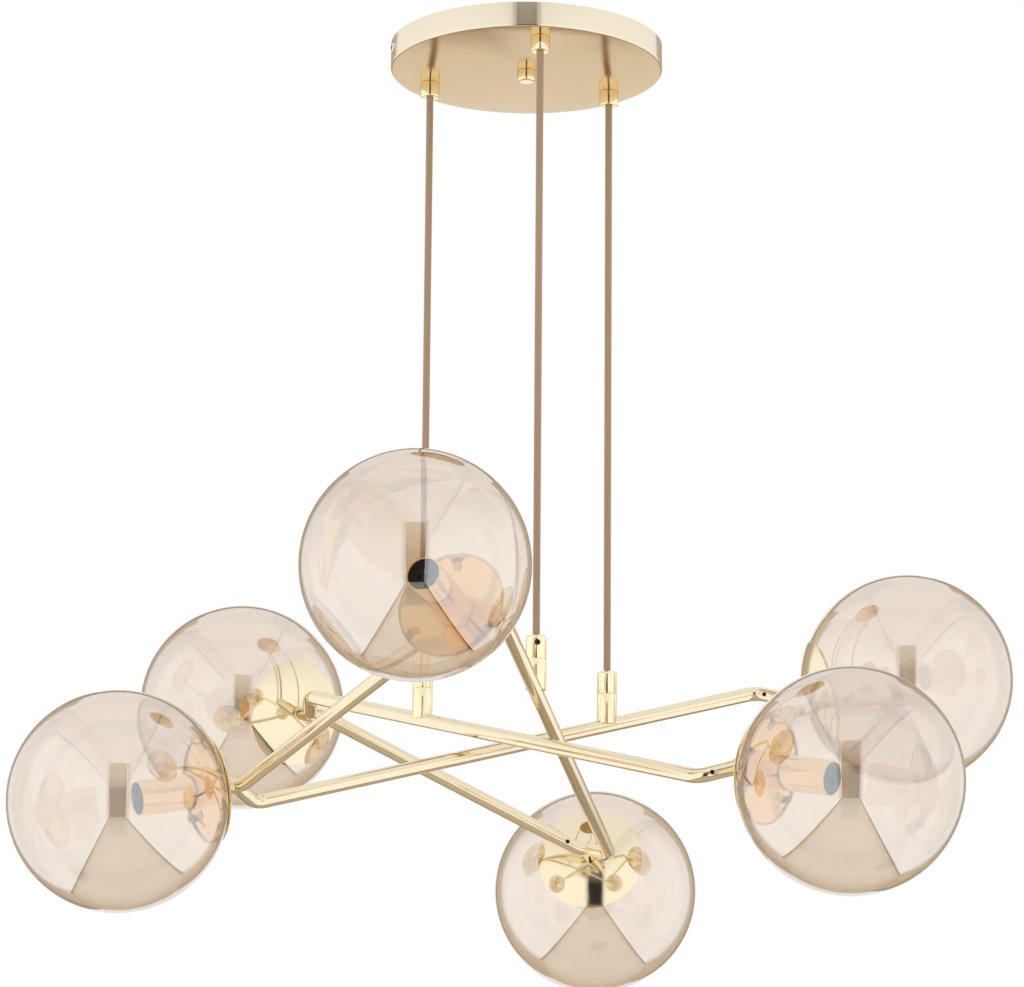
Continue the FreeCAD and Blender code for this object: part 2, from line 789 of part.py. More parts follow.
def add_grip(number, point):
    # Turned cord grip: a collar under the canopy, a threaded neck through it, and the cord's mouth below
    cord_hole = "(cord_dia / 2 + cord_gap)"
    floor = "(cord_bore_depth - grip_height)"
    grip = turned("cord_grip_%d" % number, [
        (cord_hole, "-grip_height"),
        ("grip_dia / 2", "-grip_height"),
        ("grip_dia / 2", "0"),
        ("grip_thread_dia / 2", "0"),
        ("grip_thread_dia / 2", "grip_thread_length"),
        ("wire_bore / 2", "grip_thread_length"),
        ("wire_bore / 2", floor),
        (cord_hole, floor),
    ])
    round_edge(grip, "grip_round_%d" % number, "grip_dia / 2", "-grip_height", "grip_round")
    base = Vector(point.x, point.y, -value("canopy_height"))
    keep(grip, "cord_grip_%d" % number, FreeCAD.Placement(base, FreeCAD.Rotation()))


def hex_nut(name, place, width, height, hole):
    """Hexagon nut across flats, bored for its thread."""
    prism = doc.addObject("Part::Prism", name + "_blank")
    prism.Polygon = 6
    prism.setExpression("Circumradius", bound("(%s) / sqrt(3)" % width))
    prism.setExpression("Height", bound(height))
    nut = minus(name, prism, rod(name + "_thread", hole, height))
    nut.Placement = place
    return nut


def add_bracket():
    # Pressed strap: a flat bar on the ceiling with a turned-down ear at each end for a side screw
    place = lifted(0, value("bracket_azimuth"))
    reach = "(canopy_dia / 2 - canopy_wall - bracket_gap)"
    # The ears follow the cup's round wall, so their outer face is part of a cylinder
    bar_blank = doc.addObject("Part::Box", "bracket_bar")
    bar_blank.setExpression("Length", bound("2 * " + reach))
    bar_blank.setExpression("Width", bound("bracket_width"))
    bar_blank.setExpression("Height", bound("bracket_thickness + bracket_ear"))
    bar_blank.Placement = FreeCAD.Placement(
        Vector(-value(reach), -value("bracket_width / 2"), -value("bracket_thickness + bracket_ear")),
        FreeCAD.Rotation())
    disc = rod("bracket_disc", "2 * " + reach, "bracket_thickness + bracket_ear",
               lifted(-value("bracket_thickness + bracket_ear")))
    blank = doc.addObject("Part::Common", "bracket_blank")
    blank.Base = bar_blank
    blank.Tool = disc
    tools = [rod("bracket_hollow", "2 * %s - 2 * bracket_thickness" % reach, "bracket_ear",
                 lifted(-value("bracket_thickness + bracket_ear")))]
    for side in (1, -1):
        spot = Vector(side * value("ceiling_hole_spacing / 2"), 0, -value("canopy_height"))
        tools.append(rod("ceiling_hole_%d" % (side + 2), "ceiling_hole_dia", "canopy_height",
                         FreeCAD.Placement(spot, FreeCAD.Rotation())))
        start = Vector(side * value("canopy_dia / 2"), 0, -value("side_screw_drop"))
        tools.append(rod("ear_hole_%d" % (side + 2), "side_screw_dia + 2 * thread_gap", "canopy_dia / 4",
                         lined_up(start, Vector(-side, 0, 0))))
    tools.append(rod("stud_hole", "centre_stud_dia + 2 * thread_gap", "canopy_height",
                     lifted(-value("canopy_height"))))
    keep(minus("ceiling_bracket", blank, *tools), "ceiling_bracket", place)


def add_centre_fixing():
    # Threaded stud screwed in the strap, with the domed nut that closes the middle of the canopy
    length = "canopy_height + centre_nut_height / 2"
    keep(rod("stud_rod", "centre_stud_dia", length, lifted(-value(length))), "centre_stud")
    hole = "(centre_stud_dia / 2 + thread_gap)"
    nut = turned("centre_nut_body", [
        ("0", "-centre_nut_height"),
        ("centre_nut_dia / 2", "-centre_nut_height"),
        ("centre_nut_dia / 2", "0"),
        (hole, "0"),
        (hole, "-centre_nut_height / 2"),
        ("0", "-centre_nut_height / 2"),
    ])
    round_edge(nut, "centre_nut_dome", "centre_nut_dia / 2", "-centre_nut_height", "centre_nut_height / 4")
    keep(nut, "centre_nut", lifted(-value("canopy_height")))


def side_screw(name, place):
    # Round-headed screw through the canopy's rim into the strap's ear
    head = rod("side_head_" + name, "side_screw_head_dia", "side_screw_head")
    head.Placement = place * FreeCAD.Placement(Vector(0, 0, -value("side_screw_head")), FreeCAD.Rotation())
    shank = rod("side_shank_" + name, "side_screw_dia", "side_screw_length", place)
    screw = doc.addObject("Part::Fuse", "side_screw_" + name)
    screw.Base = head
    screw.Tool = shank
    return screw


def add_terminal_block():
    # Three-way terminal block that rests on the canopy's floor beside the strap
    floor = value("canopy_height - canopy_wall")
    block = doc.addObject("Part::Box", "terminal_body")
    for side in ("Length", "Width", "Height"):
        block.setExpression(side, bound("terminal_" + side.lower()))
    across = around(value("bracket_azimuth") + 90)
    turn = FreeCAD.Rotation(UP, value("bracket_azimuth"))
    corner = turn.multVec(Vector(-value("terminal_length / 2"), -value("terminal_width / 2"), 0))
    block.Placement = FreeCAD.Placement(across * value("terminal_offset") + corner - UP * floor, turn)
    tools = []
    for way in (-1, 0, 1):
        along = around(value("bracket_azimuth")) * (way * value("terminal_length / 3"))
        start = across * value("terminal_offset - terminal_width") + along
        start = start - UP * (floor - value("terminal_height / 2"))
        tools.append(rod("terminal_way_%d" % (way + 2), "terminal_hole_dia", "2 * terminal_width",
                         lined_up(start, across)))
    keep(minus("terminal_block", block, *tools), "terminal_block")


add_canopy()
add_bracket()
add_centre_fixing()
keep(group("canopy_screws", [side_screw(*place) for place in side_screw_places()]), "canopy_screws")
nuts = []
for i, point in enumerate(clamp_points):
    add_grip(i + 1, point)
    seat = Vector(point.x, point.y, value("canopy_wall - canopy_height"))
    nuts.append(hex_nut("grip_nut_%d" % (i + 1), FreeCAD.Placement(seat, FreeCAD.Rotation()),
                        "grip_nut_width", "grip_nut_height", "grip_thread_dia + 2 * thread_gap"))
keep(group("grip_nuts", nuts), "grip_nuts")
add_terminal_block()

doc.recompute()
for thing in doc.Objects:
    if "Invalid" in thing.State or "Error" in thing.State:
        raise RuntimeError("%s failed: %s" % (thing.Label, thing.State))
for node in NODES:
    if node.Shape.isNull() or not node.Shape.isValid():
        raise RuntimeError("%s has no valid shape" % node.Label)

os.makedirs("parts", exist_ok=True)
for node in NODES:
    node.Shape.exportStep("parts/%s.step" % node.Label)
print("%d nodes, frame hangs %.1f mm below the ceiling" % (len(NODES), -frame_z))
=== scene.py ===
import json
import math

import bmesh
import bpy
from mathutils import Euler, Matrix, Vector


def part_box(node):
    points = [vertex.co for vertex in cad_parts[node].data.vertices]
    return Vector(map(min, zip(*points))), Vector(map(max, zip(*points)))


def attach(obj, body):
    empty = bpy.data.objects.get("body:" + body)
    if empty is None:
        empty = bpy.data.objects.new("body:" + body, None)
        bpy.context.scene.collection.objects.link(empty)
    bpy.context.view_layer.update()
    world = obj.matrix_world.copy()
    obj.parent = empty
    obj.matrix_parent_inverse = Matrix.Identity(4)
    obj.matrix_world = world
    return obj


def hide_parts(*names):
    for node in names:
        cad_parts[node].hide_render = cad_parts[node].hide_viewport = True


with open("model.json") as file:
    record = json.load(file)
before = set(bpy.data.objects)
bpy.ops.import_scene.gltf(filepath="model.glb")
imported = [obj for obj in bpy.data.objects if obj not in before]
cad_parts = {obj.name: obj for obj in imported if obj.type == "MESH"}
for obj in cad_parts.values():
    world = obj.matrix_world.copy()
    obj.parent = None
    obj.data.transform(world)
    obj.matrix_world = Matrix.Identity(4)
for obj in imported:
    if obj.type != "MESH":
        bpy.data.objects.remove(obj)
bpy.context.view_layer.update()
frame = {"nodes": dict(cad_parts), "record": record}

nodes = frame["nodes"]
body_of = {node: body for body, members in frame["record"]["behaviour"]["bodies"].items() for node in members}
bpy.context.scene.view_settings.view_transform = "Standard"


# Canopy: a shallow cup spun from sheet brass and plated pale gold, held against the ceiling by a strap
# inside. Its underside is satin, with the fine rings of the lathe, in a darker gold that is painted shade for
# the face that looks down; the rim round it is polished.
canopy_radius = 0.0975
canopy_height = 0.018
canopy_wall = 0.0012
canopy_edge = 0.0015
centre_hole_radius = 0.0032
grip_hole_radius = 0.00505
pale_gold = (0.85, 0.765, 0.615)
deep_gold = (0.83, 0.73, 0.56)
# Painted shade: the satin tones are darker than the plating, for the face that looks down
shaded_satin_gold = (0.655, 0.475, 0.25)
shaded_satin_deep = (0.625, 0.445, 0.23)


def add_primitive(add, **settings):
    """Adds a primitive with nothing else selected."""
    if bpy.context.mode != "OBJECT":
        bpy.ops.object.mode_set(mode="OBJECT")
    bpy.ops.object.select_all(action="DESELECT")
    add(**settings)
    piece = bpy.context.object
    bpy.ops.object.transform_apply(location=True, rotation=True, scale=True)
    return piece


def add_rod(radius, foot, top, sides):
    """A cylinder about the Z axis between two heights."""
    return add_primitive(bpy.ops.mesh.primitive_cylinder_add, vertices=sides, radius=radius,
                         depth=top - foot, location=(0, 0, (foot + top) / 2))


def pick(piece, kind, wanted):
    """Goes to edit mode with only the wanted faces or edges selected."""
    bpy.ops.object.mode_set(mode="EDIT")
    bpy.ops.mesh.select_mode(type=kind)
    bpy.ops.mesh.select_all(action="DESELECT")
    mesh = bmesh.from_edit_mesh(piece.data)
    for part in mesh.faces if kind == "FACE" else mesh.edges:
        if wanted(part):
            part.select_set(True)
    bmesh.update_edit_mesh(piece.data)


def round_rim(piece, height, offset, segments):
    """Bevels the edges that lie flat at a height."""
    pick(piece, "EDGE", lambda edge: all(abs(corner.co.z - height) < 1e-6 for corner in edge.verts))
    bpy.ops.mesh.bevel(offset=offset, segments=segments)


def step_end(piece, side, inset, rise):
    """Insets the flat end on the upper (1) or lower (-1) side and moves what is left up or down."""
    pick(piece, "FACE", lambda face: face.normal.z * side > 0.9999)
    bpy.ops.mesh.inset(thickness=inset)
    bpy.ops.mesh.extrude_region_move(TRANSFORM_OT_translate={"value": (0, 0, rise)})


def apply_modifier(piece, kind, **settings):
    """Adds a modifier and applies it at once."""
    bpy.context.view_layer.objects.active = piece
    modifier = piece.modifiers.new(kind.title(), kind)
    for label, value in settings.items():
        setattr(modifier, label, value)
    bpy.ops.object.modifier_apply(modifier=modifier.name)


def drill(piece, start, way, radius, depth, sides=32):
    """Cuts a hole from its start along a way, reaching a little out of the surface."""
    way = Vector(way).normalized()
    out = 0.002
    middle = Vector(start) + way * (depth - out) / 2
    bit = add_primitive(bpy.ops.mesh.primitive_cylinder_add, vertices=sides, radius=radius, depth=depth + out,
                        location=middle, rotation=way.to_track_quat("Z", "Y").to_euler())
    apply_modifier(piece, "BOOLEAN", operation="DIFFERENCE", object=bit, solver="EXACT")
    bpy.data.objects.remove(bit)
    piece.select_set(True)


def close_up(piece, name, angle=35):
    """Ends the editing of a piece, names it and shades it."""
    if bpy.context.mode != "OBJECT":
        bpy.ops.object.mode_set(mode="OBJECT")
    bpy.ops.object.select_all(action="DESELECT")
    piece.select_set(True)
    bpy.context.view_layer.objects.active = piece
    piece.name = name
    piece.data.name = name
    bpy.ops.object.shade_smooth_by_angle(angle=math.radians(angle))
    return piece


def fit(piece, node):
    """Puts a finished piece in the place of its node."""
    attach(piece, body_of[node])
    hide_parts(node)


def new_group(name, inputs, outputs):
    """An empty shader node group with float and vector sockets."""
    group = bpy.data.node_groups.new(name, "ShaderNodeTree")
    for direction, sockets in (("INPUT", inputs), ("OUTPUT", outputs)):
        for label, kind in sockets:
            group.interface.new_socket(label, in_out=direction, socket_type="NodeSocket" + kind)
    return group, group.nodes.new("NodeGroupInput"), group.nodes.new("NodeGroupOutput")


def feed(tree, socket, value):
    """Links an output to a socket, or gives the socket a plain value."""
    if isinstance(value, bpy.types.NodeSocket):
        tree.links.new(value, socket)
    else:
        socket.default_value = value


def add_node(tree, kind, setup=None, **inputs):
    """A shader node with its options set and its inputs fed."""
    node = tree.nodes.new("ShaderNode" + kind)
    for label, value in (setup or {}).items():
        setattr(node, label, value)
    for label, value in inputs.items():
        feed(tree, node.inputs[label.replace("_", " ")], value)
    return node


def add_math(tree, operation, *values):
    """The result of a math node on outputs and plain values."""
    node = add_node(tree, "Math", {"operation": operation})
    for socket, value in zip(node.inputs, values):
        feed(tree, socket, value)
    return node.outputs["Value"]


# Polishing leaves a haze of soft patches and fine scratches that only show in reflections
polish_haze, given, result = new_group(
    "polish haze",
    [("Vector", "Vector"), ("Patch Scale", "Float"), ("Smooth", "Float"), ("Hazy", "Float")],
    [("Roughness", "Float"), ("Patch", "Float"), ("Height", "Float")])
patches = add_node(polish_haze, "TexNoise", Vector=given.outputs["Vector"],
                   Scale=given.outputs["Patch Scale"], Detail=5, Roughness=0.6)
scratches = add_node(polish_haze, "TexNoise", Vector=given.outputs["Vector"], Scale=900, Detail=3)
spread = add_node(polish_haze, "MapRange", Value=patches.outputs["Fac"], From_Min=0.35, From_Max=0.7,
                  To_Min=given.outputs["Smooth"], To_Max=given.outputs["Hazy"])
polish_haze.links.new(spread.outputs["Result"], result.inputs["Roughness"])
polish_haze.links.new(patches.outputs["Fac"], result.inputs["Patch"])
polish_haze.links.new(scratches.outputs["Fac"], result.inputs["Height"])

# A lathe leaves rings round the axis of what it turns
lathe_rings, given, result = new_group(
    "lathe rings", [("Vector", "Vector"), ("Ring Scale", "Float")], [("Height", "Float"), ("Tone", "Float")])
place = add_node(lathe_rings, "SeparateXYZ", Vector=given.outputs["Vector"])
flat_place = add_node(lathe_rings, "CombineXYZ", X=place.outputs["X"], Y=place.outputs["Y"])
from_axis = add_node(lathe_rings, "VectorMath", {"operation": "LENGTH"}, Vector=flat_place.outputs["Vector"])
ring_number = add_math(lathe_rings, "MULTIPLY", from_axis.outputs["Value"], given.outputs["Ring Scale"])
ring_noise = add_node(lathe_rings, "TexNoise", {"noise_dimensions": "1D"}, W=ring_number, Scale=1, Detail=6,
                      Roughness=0.7)
broad_noise = add_node(lathe_rings, "TexNoise", Vector=given.outputs["Vector"], Scale=14)
lathe_rings.links.new(ring_noise.outputs["Fac"], result.inputs["Height"])
lathe_rings.links.new(broad_noise.outputs["Fac"], result.inputs["Tone"])


def start_material(name):
    """A new material with its Principled shader."""
    material = bpy.data.materials.new(name)
    material.use_nodes = True
    return material, material.node_tree, material.node_tree.nodes["Principled BSDF"]


def place_group(tree, group, **values):
    """Puts a shared effect in a material with its own values, on Object coordinates."""
    node = tree.nodes.new("ShaderNodeGroup")
    node.node_tree = group
    for label, value in values.items():
        node.inputs[label.replace("_", " ")].default_value = value
    place = tree.nodes.new("ShaderNodeTexCoord")
    tree.links.new(place.outputs["Object"], node.inputs["Vector"])
    return node


def two_tones(tree, shader, mask, first, second):
    """Base colour that drifts from one tone to another with a mask."""
    mix = add_node(tree, "Mix", {"data_type": "RGBA"}, Factor=mask, A=(*first, 1), B=(*second, 1))
    tree.links.new(mix.outputs["Result"], shader.inputs["Base Color"])


def bump(tree, shader, height, strength, distance):
    """Fine relief that follows a height."""
    node = add_node(tree, "Bump", Strength=strength, Distance=distance, Height=height)
    tree.links.new(node.outputs["Normal"], shader.inputs["Normal"])


def hazed(name, tones, patch_scale, smooth, hazy, metallic=1, scratch=0, scratch_depth=0.0001):
    """A finish whose tone, roughness and, where asked for, relief follow the polishing haze."""
    material, tree, shader = start_material(name)
    shader.inputs["Metallic"].default_value = metallic
    haze = place_group(tree, polish_haze, Patch_Scale=patch_scale, Smooth=smooth, Hazy=hazy)
    two_tones(tree, shader, haze.outputs["Patch"], *tones)
    tree.links.new(haze.outputs["Roughness"], shader.inputs["Roughness"])
    if scratch:
        bump(tree, shader, haze.outputs["Height"], scratch, scratch_depth)
    return material


cord_places = []
for number in (1, 2, 3):
    low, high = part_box("cord_%d" % number)
    cord_places.append(((low.x + high.x) / 2, (low.y + high.y) / 2))

polished_gold = hazed("polished pale gold", (pale_gold, deep_gold), patch_scale=35, smooth=0.05, hazy=0.11,
                      scratch=0.02)

# The underside's satin gold, darkened as painted shade of the downward face
underside_painted_shade, tree, shader = start_material("satin pale gold")
shader.inputs["Metallic"].default_value = 1
haze = place_group(tree, polish_haze, Patch_Scale=18, Smooth=0.07, Hazy=0.11)
rings = place_group(tree, lathe_rings, Ring_Scale=2600)
two_tones(tree, shader, rings.outputs["Tone"], shaded_satin_gold, shaded_satin_deep)
tree.links.new(haze.outputs["Roughness"], shader.inputs["Roughness"])
bump(tree, shader, rings.outputs["Height"], 0.12, 0.0002)

canopy = add_rod(canopy_radius, -canopy_height, 0, sides=192)
round_rim(canopy, -canopy_height, canopy_edge, segments=6)
step_end(canopy, 1, canopy_wall, canopy_wall - canopy_height)
drill(canopy, (0, 0, -canopy_height), (0, 0, 1), centre_hole_radius, canopy_height)
for x, y in cord_places:
    drill(canopy, (x, y, -canopy_height), (0, 0, 1), grip_hole_radius, canopy_height)
close_up(canopy, "canopy_cup")
canopy.data.materials.append(polished_gold)
canopy.data.materials.append(underside_painted_shade)
for face in canopy.data.polygons:
    if face.normal.z < -0.9:
        face.material_index = 1
fit(canopy, "canopy")


# Ceiling hardware inside the canopy: a zinc-plated strap, its stud and the nuts of the cord grips,
# and a terminal block of white plastic. None of it shows from below.
zinc = (0.62, 0.63, 0.62)
zinc_dull = (0.42, 0.44, 0.46)
block_white = (0.78, 0.78, 0.74)
block_shade = (0.70, 0.69, 0.63)

zinc_plate = hazed("zinc plate", (zinc, zinc_dull), patch_scale=60, smooth=0.28, hazy=0.5,
                   scratch=0.08, scratch_depth=0.0002)
white_plastic = hazed("moulded white plastic", (block_white, block_shade), patch_scale=90, smooth=0.45,
                      hazy=0.6, metallic=0, scratch=0.1, scratch_depth=0.0002)


def finish_node(node, finish):
    """Gives a CAD node that stays as it is its finish."""
    nodes[node].data.materials.clear()
    nodes[node].data.materials.append(finish)


for node in ("ceiling_bracket", "centre_stud", "grip_nuts", "nipples"):
    finish_node(node, zinc_plate)
finish_node("terminal_block", white_plastic)


# Side screws: two round-headed brass screws through the canopy's rim into the strap's ears. Each is turned
# and plated with the rest, and has a hexagon socket whose faces take the blackened steel, so it is dark.
side_screw_radius = 0.002
side_head_radius = 0.00325
side_head_height = 0.0018
side_head_round = 0.00099
side_screw_length = 0.008
side_screw_drop = 0.009
side_socket_radius = 0.0017
side_socket_depth = 0.0015
socket_margin = 1.01
black_steel = (0.035, 0.03, 0.028)
worn_steel = (0.09, 0.08, 0.07)
strap_azimuth = math.radians(14)


def copy_to(pattern, name, spot):
    """A copy of a modelled piece with its own mesh, moved to its place."""
    bpy.ops.object.select_all(action="DESELECT")
    pattern.select_set(True)
    bpy.context.view_layer.objects.active = pattern
    bpy.ops.object.duplicate()
    piece = bpy.context.object
    piece.name = name
    piece.data.name = name
    piece.matrix_world = spot
    bpy.ops.object.transform_apply(location=True, rotation=True, scale=True)
    return piece


def pointed(place, way):
    """A spot whose local Z runs along a way."""
    return Matrix.Translation(place) @ Vector(way).to_track_quat("Z", "Y").to_matrix().to_4x4()


def joined(pieces, name):
    """Several copies in one mesh."""
    bpy.ops.object.select_all(action="DESELECT")
    for piece in pieces:
        piece.select_set(True)
    bpy.context.view_layer.objects.active = pieces[0]
    bpy.ops.object.join()
    return close_up(pieces[0], name)


blackened = hazed("blackened steel", (black_steel, worn_steel), patch_scale=300, smooth=0.3, hazy=0.5)

screw = add_rod(side_head_radius, 0, side_head_height, sides=48)
round_rim(screw, side_head_height, side_head_round, segments=5)
step_end(screw, -1, side_head_radius - side_screw_radius, -side_screw_length)
drill(screw, (0, 0, side_head_height), (0, 0, -1), side_socket_radius, side_socket_depth, sides=6)
screw.data.materials.append(polished_gold)
screw.data.materials.append(blackened)
screw.active_material_index = 1
pick(screw, "FACE", lambda face: all(corner.co.xy.length < side_socket_radius * socket_margin
                                     and corner.co.z > 0 for corner in face.verts))
bpy.ops.object.material_slot_assign()
close_up(screw, "side_screw_pattern")
side_screws = []
for turn in (0, math.pi):
    out = Vector((math.cos(strap_azimuth + turn), math.sin(strap_azimuth + turn), 0))
    spot = pointed(out * canopy_radius - Vector((0, 0, side_screw_drop)), out)
    side_screws.append(copy_to(screw, "side_screw", spot))
bpy.data.objects.remove(screw)
fit(joined(side_screws, "side_screws_socketed"), "canopy_screws")


# Centre nut: a domed brass nut, turned and polished, that closes the middle of the canopy on its stud.
# Small turned pieces get a brighter gold than the spun ones: the same plating, with painted reflection for
# the canopy's gold that they mirror.
nut_radius = 0.0065
nut_height = 0.008
nut_dome = 0.002
nut_hole_radius = 0.00305
edge_break = 0.0003
# The brighter tones carry painted reflection of the canopy's gold
turned_highlight_gold = (0.97, 0.86, 0.60)
turned_highlight_deep = (0.94, 0.81, 0.53)

turned_painted_bright = hazed("turned gold with painted brightness", (turned_highlight_gold, turned_highlight_deep), patch_scale=120, smooth=0.05, hazy=0.1,
                    scratch=0.02)

nut = add_rod(nut_radius, -canopy_height - nut_height, -canopy_height, sides=64)
round_rim(nut, -canopy_height - nut_height, nut_dome, segments=6)
round_rim(nut, -canopy_height, edge_break, segments=2)
step_end(nut, 1, nut_radius - edge_break - nut_hole_radius, -nut_height / 2)
close_up(nut, "centre_nut_domed")
nut.data.materials.append(turned_painted_bright)
fit(nut, "centre_nut")


# Cord grips: three turned brass collars under the canopy. A threaded neck goes up through the canopy
# to a nut inside it, and the cord goes up through the mouth below.
grip_radius = 0.00675
grip_height = 0.011
grip_round = 0.0012
grip_neck_radius = 0.005
grip_neck_length = 0.007
cord_hole_radius = 0.0028
cord_hole_depth = 0.009

grip = add_rod(grip_radius, -grip_height, 0, sides=64)
round_rim(grip, -grip_height, grip_round, segments=5)
step_end(grip, -1, grip_radius - grip_round - cord_hole_radius, cord_hole_depth)
round_rim(grip, 0, edge_break, segments=2)
step_end(grip, 1, grip_radius - edge_break - grip_neck_radius, grip_neck_length)
close_up(grip, "grip_pattern")
grip.data.materials.append(turned_painted_bright)
for number, (x, y) in enumerate(cord_places, start=1):
    spot = Matrix.Translation((x, y, -canopy_height))
    fit(copy_to(grip, "cord_grip_%d_turned" % number, spot), "cord_grip_%d" % number)
bpy.data.objects.remove(grip)


# Cords: three textile-covered cables, straight and taut between grip and clamp. The cover is a fine
# braid of brown thread, so it has the sheen of cloth and shows two sets of strands that cross.
cord_diameter = 0.005
cord_top = -0.026
cord_foot = -0.451
cord_between = (-0.17, -0.31)
# The second cord tone is a painted highlight on the strands' crowns
cord_brown = (0.36, 0.235, 0.14)
cord_crown_highlight = (0.55, 0.38, 0.245)
strands_round = 16
strand_pitch = 0.011

braid, given, result = new_group("braid", [("Vector", "Vector")], [("Height", "Float"), ("Tone", "Float")])
place = add_node(braid, "SeparateXYZ", Vector=given.outputs["Vector"])
turn = add_math(braid, "ARCTAN2", place.outputs["Y"], place.outputs["X"])
turns = add_math(braid, "MULTIPLY", turn, strands_round / 2)
rise = add_math(braid, "MULTIPLY", place.outputs["Z"], math.tau / strand_pitch * strands_round / 4)
waves = [add_math(braid, "SINE", add_math(braid, crossing, turns, rise)) for crossing in ("ADD", "SUBTRACT")]
over = add_math(braid, "MAXIMUM", *waves)
fuzz = add_node(braid, "TexNoise", Vector=given.outputs["Vector"], Scale=1500)
# Painted light and shade: the strand lying over is lighter and the dip between darker, broken up by random
# fuzz
tone = add_node(braid, "MapRange", Value=over, From_Min=-1, From_Max=1)
crown_light_and_fuzz = add_math(braid, "MULTIPLY", tone.outputs["Result"], fuzz.outputs["Fac"])
braid.links.new(tone.outputs["Result"], result.inputs["Height"])
braid.links.new(crown_light_and_fuzz, result.inputs["Tone"])


def cord_cover(number, x, y):
    """Braid wound about one cord's own axis."""
    material, tree, shader = start_material("brown braid %d" % number)
    weave = place_group(tree, braid)
    centre = tree.nodes.new("ShaderNodeMapping")
    centre.inputs["Location"].default_value = (-x, -y, 0)
    object_place = weave.inputs["Vector"].links[0].from_socket
    tree.links.new(object_place, centre.inputs["Vector"])
    tree.links.new(centre.outputs["Vector"], weave.inputs["Vector"])
    two_tones(tree, shader, weave.outputs["Tone"], cord_brown, cord_crown_highlight)
    shader.inputs["Roughness"].default_value = 0.75
    shader.inputs["Sheen Weight"].default_value = 0.25
    bump(tree, shader, weave.outputs["Height"], 0.5, 0.0003)
    return material


for number in (1, 2, 3):
    node = "cord_%d" % number
    x, y = cord_places[number - 1]
    line = bpy.data.curves.new(node + "_line", "CURVE")
    line.dimensions = "3D"
    line.bevel_depth = cord_diameter / 2
    line.bevel_resolution = 8
    line.use_fill_caps = True
    run = line.splines.new("NURBS")
    route = [(x, y, height) for height in (cord_top, *cord_between, cord_foot)]
    run.points.add(len(route) - 1)
    for point, spot in zip(run.points, route):
        point.co = (*spot, 1)
    run.order_u = 3
    run.use_endpoint_u = True
    cord = bpy.data.objects.new(node + "_braided", line)
    bpy.context.scene.collection.objects.link(cord)
    line.materials.append(cord_cover(number, x, y))
    fit(cord, node)


# Long tubes: three drawn brass tubes that cross in the middle of the frame, each bent near both ends towards
# a knuckle and pushed on its spigot. Each end is cross-drilled for a set screw.
ring_radius = 0.286
ring_rise = 0.061
upper_azimuth = -103.9
lower_azimuth = -161.3
axis_tilt = 12
axis_skew = 7
globe_radius = 0.075
hub_distance = 0.0862
tube_radius = 0.005
tube_wall = 0.001
bend_radius = 0.014
bend_steps = 10
long_inset = 0.02
long_side = 0.02
long_rise = 0.0075
leg_length = 0.019
long_screw_inset = 0.0095
tube_screw_radius = 0.0015
tube_screw_length = 0.002
tube_screw_sink = 0.0004
screw_gap = 0.0001
frame_gold = (0.86, 0.76, 0.565)
frame_shade = (0.83, 0.71, 0.49)
up = Vector((0, 0, 1))
globe_names = ["%s_%d" % (level, number) for level in ("upper", "lower") for number in (1, 2, 3)]
ring_middle = sum(corner.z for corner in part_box("short_tube_1")) / 2

warm_gold = hazed("polished warm gold", (frame_gold, frame_shade), patch_scale=35, smooth=0.05, hazy=0.11,
                  scratch=0.02)


def globe_spot(name):
    """Place of a globe: local Z runs from its centre to the pole of its cap."""
    level, number = name.split("_")
    sign = 1 if level == "upper" else -1
    first = upper_azimuth if level == "upper" else lower_azimuth
    azimuth = math.radians(first + 120 * (int(number) - 1))
    way = azimuth - sign * math.radians(axis_skew)
    tilt = sign * math.radians(axis_tilt)
    centre = Vector((ring_radius * math.cos(azimuth), ring_radius * math.sin(azimuth),
                     ring_middle + sign * ring_rise))
    outward = Vector((math.cos(way) * math.cos(tilt), math.sin(way) * math.cos(tilt), math.sin(tilt)))
    return pointed(centre, -outward)


def tube_corners(start, finish, inset, side, lift):
    """Hubs of two globes and the corners of the tube between them."""
    hubs = [globe_spot(name) @ Vector((0, 0, hub_distance)) for name in (start, finish)]
    flat = hubs[1] - hubs[0]
    flat.z = 0
    flat.normalize()
    left = up.cross(flat)
    corners = [hubs[0] + flat * inset + left * side - up * lift,
               hubs[1] - flat * inset + left * side + up * lift]
    return hubs, corners


def draw_tube(points):
    """A hollow tube drawn along points, with a tangent bend at each corner between."""
    way = (points[1] - points[0]).normalized()
    tube = add_primitive(bpy.ops.mesh.primitive_circle_add, vertices=48, radius=tube_radius,
                         location=points[0], rotation=way.to_track_quat("Z", "Y").to_euler())
    bpy.ops.object.mode_set(mode="EDIT")
    bpy.ops.mesh.select_mode(type="EDGE")
    bpy.ops.mesh.select_all(action="SELECT")
    here = points[0]
    for before, corner, after in zip(points, points[1:-1], points[2:]):
        way_in = (corner - before).normalized()
        way_out = (after - corner).normalized()
        turn = way_in.angle(way_out)
        setback = bend_radius * math.tan(turn / 2)
        centre = corner + (way_out - way_in).normalized() * bend_radius / math.cos(turn / 2)
        bpy.ops.mesh.extrude_region_move(TRANSFORM_OT_translate={"value": corner - way_in * setback - here})
        bpy.ops.mesh.spin(steps=bend_steps, angle=turn, center=centre, axis=way_out.cross(way_in))
        here = corner + way_out * setback
    bpy.ops.mesh.extrude_region_move(TRANSFORM_OT_translate={"value": points[-1] - here})
    bpy.ops.mesh.select_all(action="SELECT")
    bpy.ops.mesh.remove_doubles(threshold=1e-7)
    bpy.ops.mesh.normals_make_consistent(inside=False)
    bpy.ops.object.mode_set(mode="OBJECT")
    apply_modifier(tube, "SOLIDIFY", thickness=tube_wall, offset=-1)
    return tube


tube_screw_spots = []


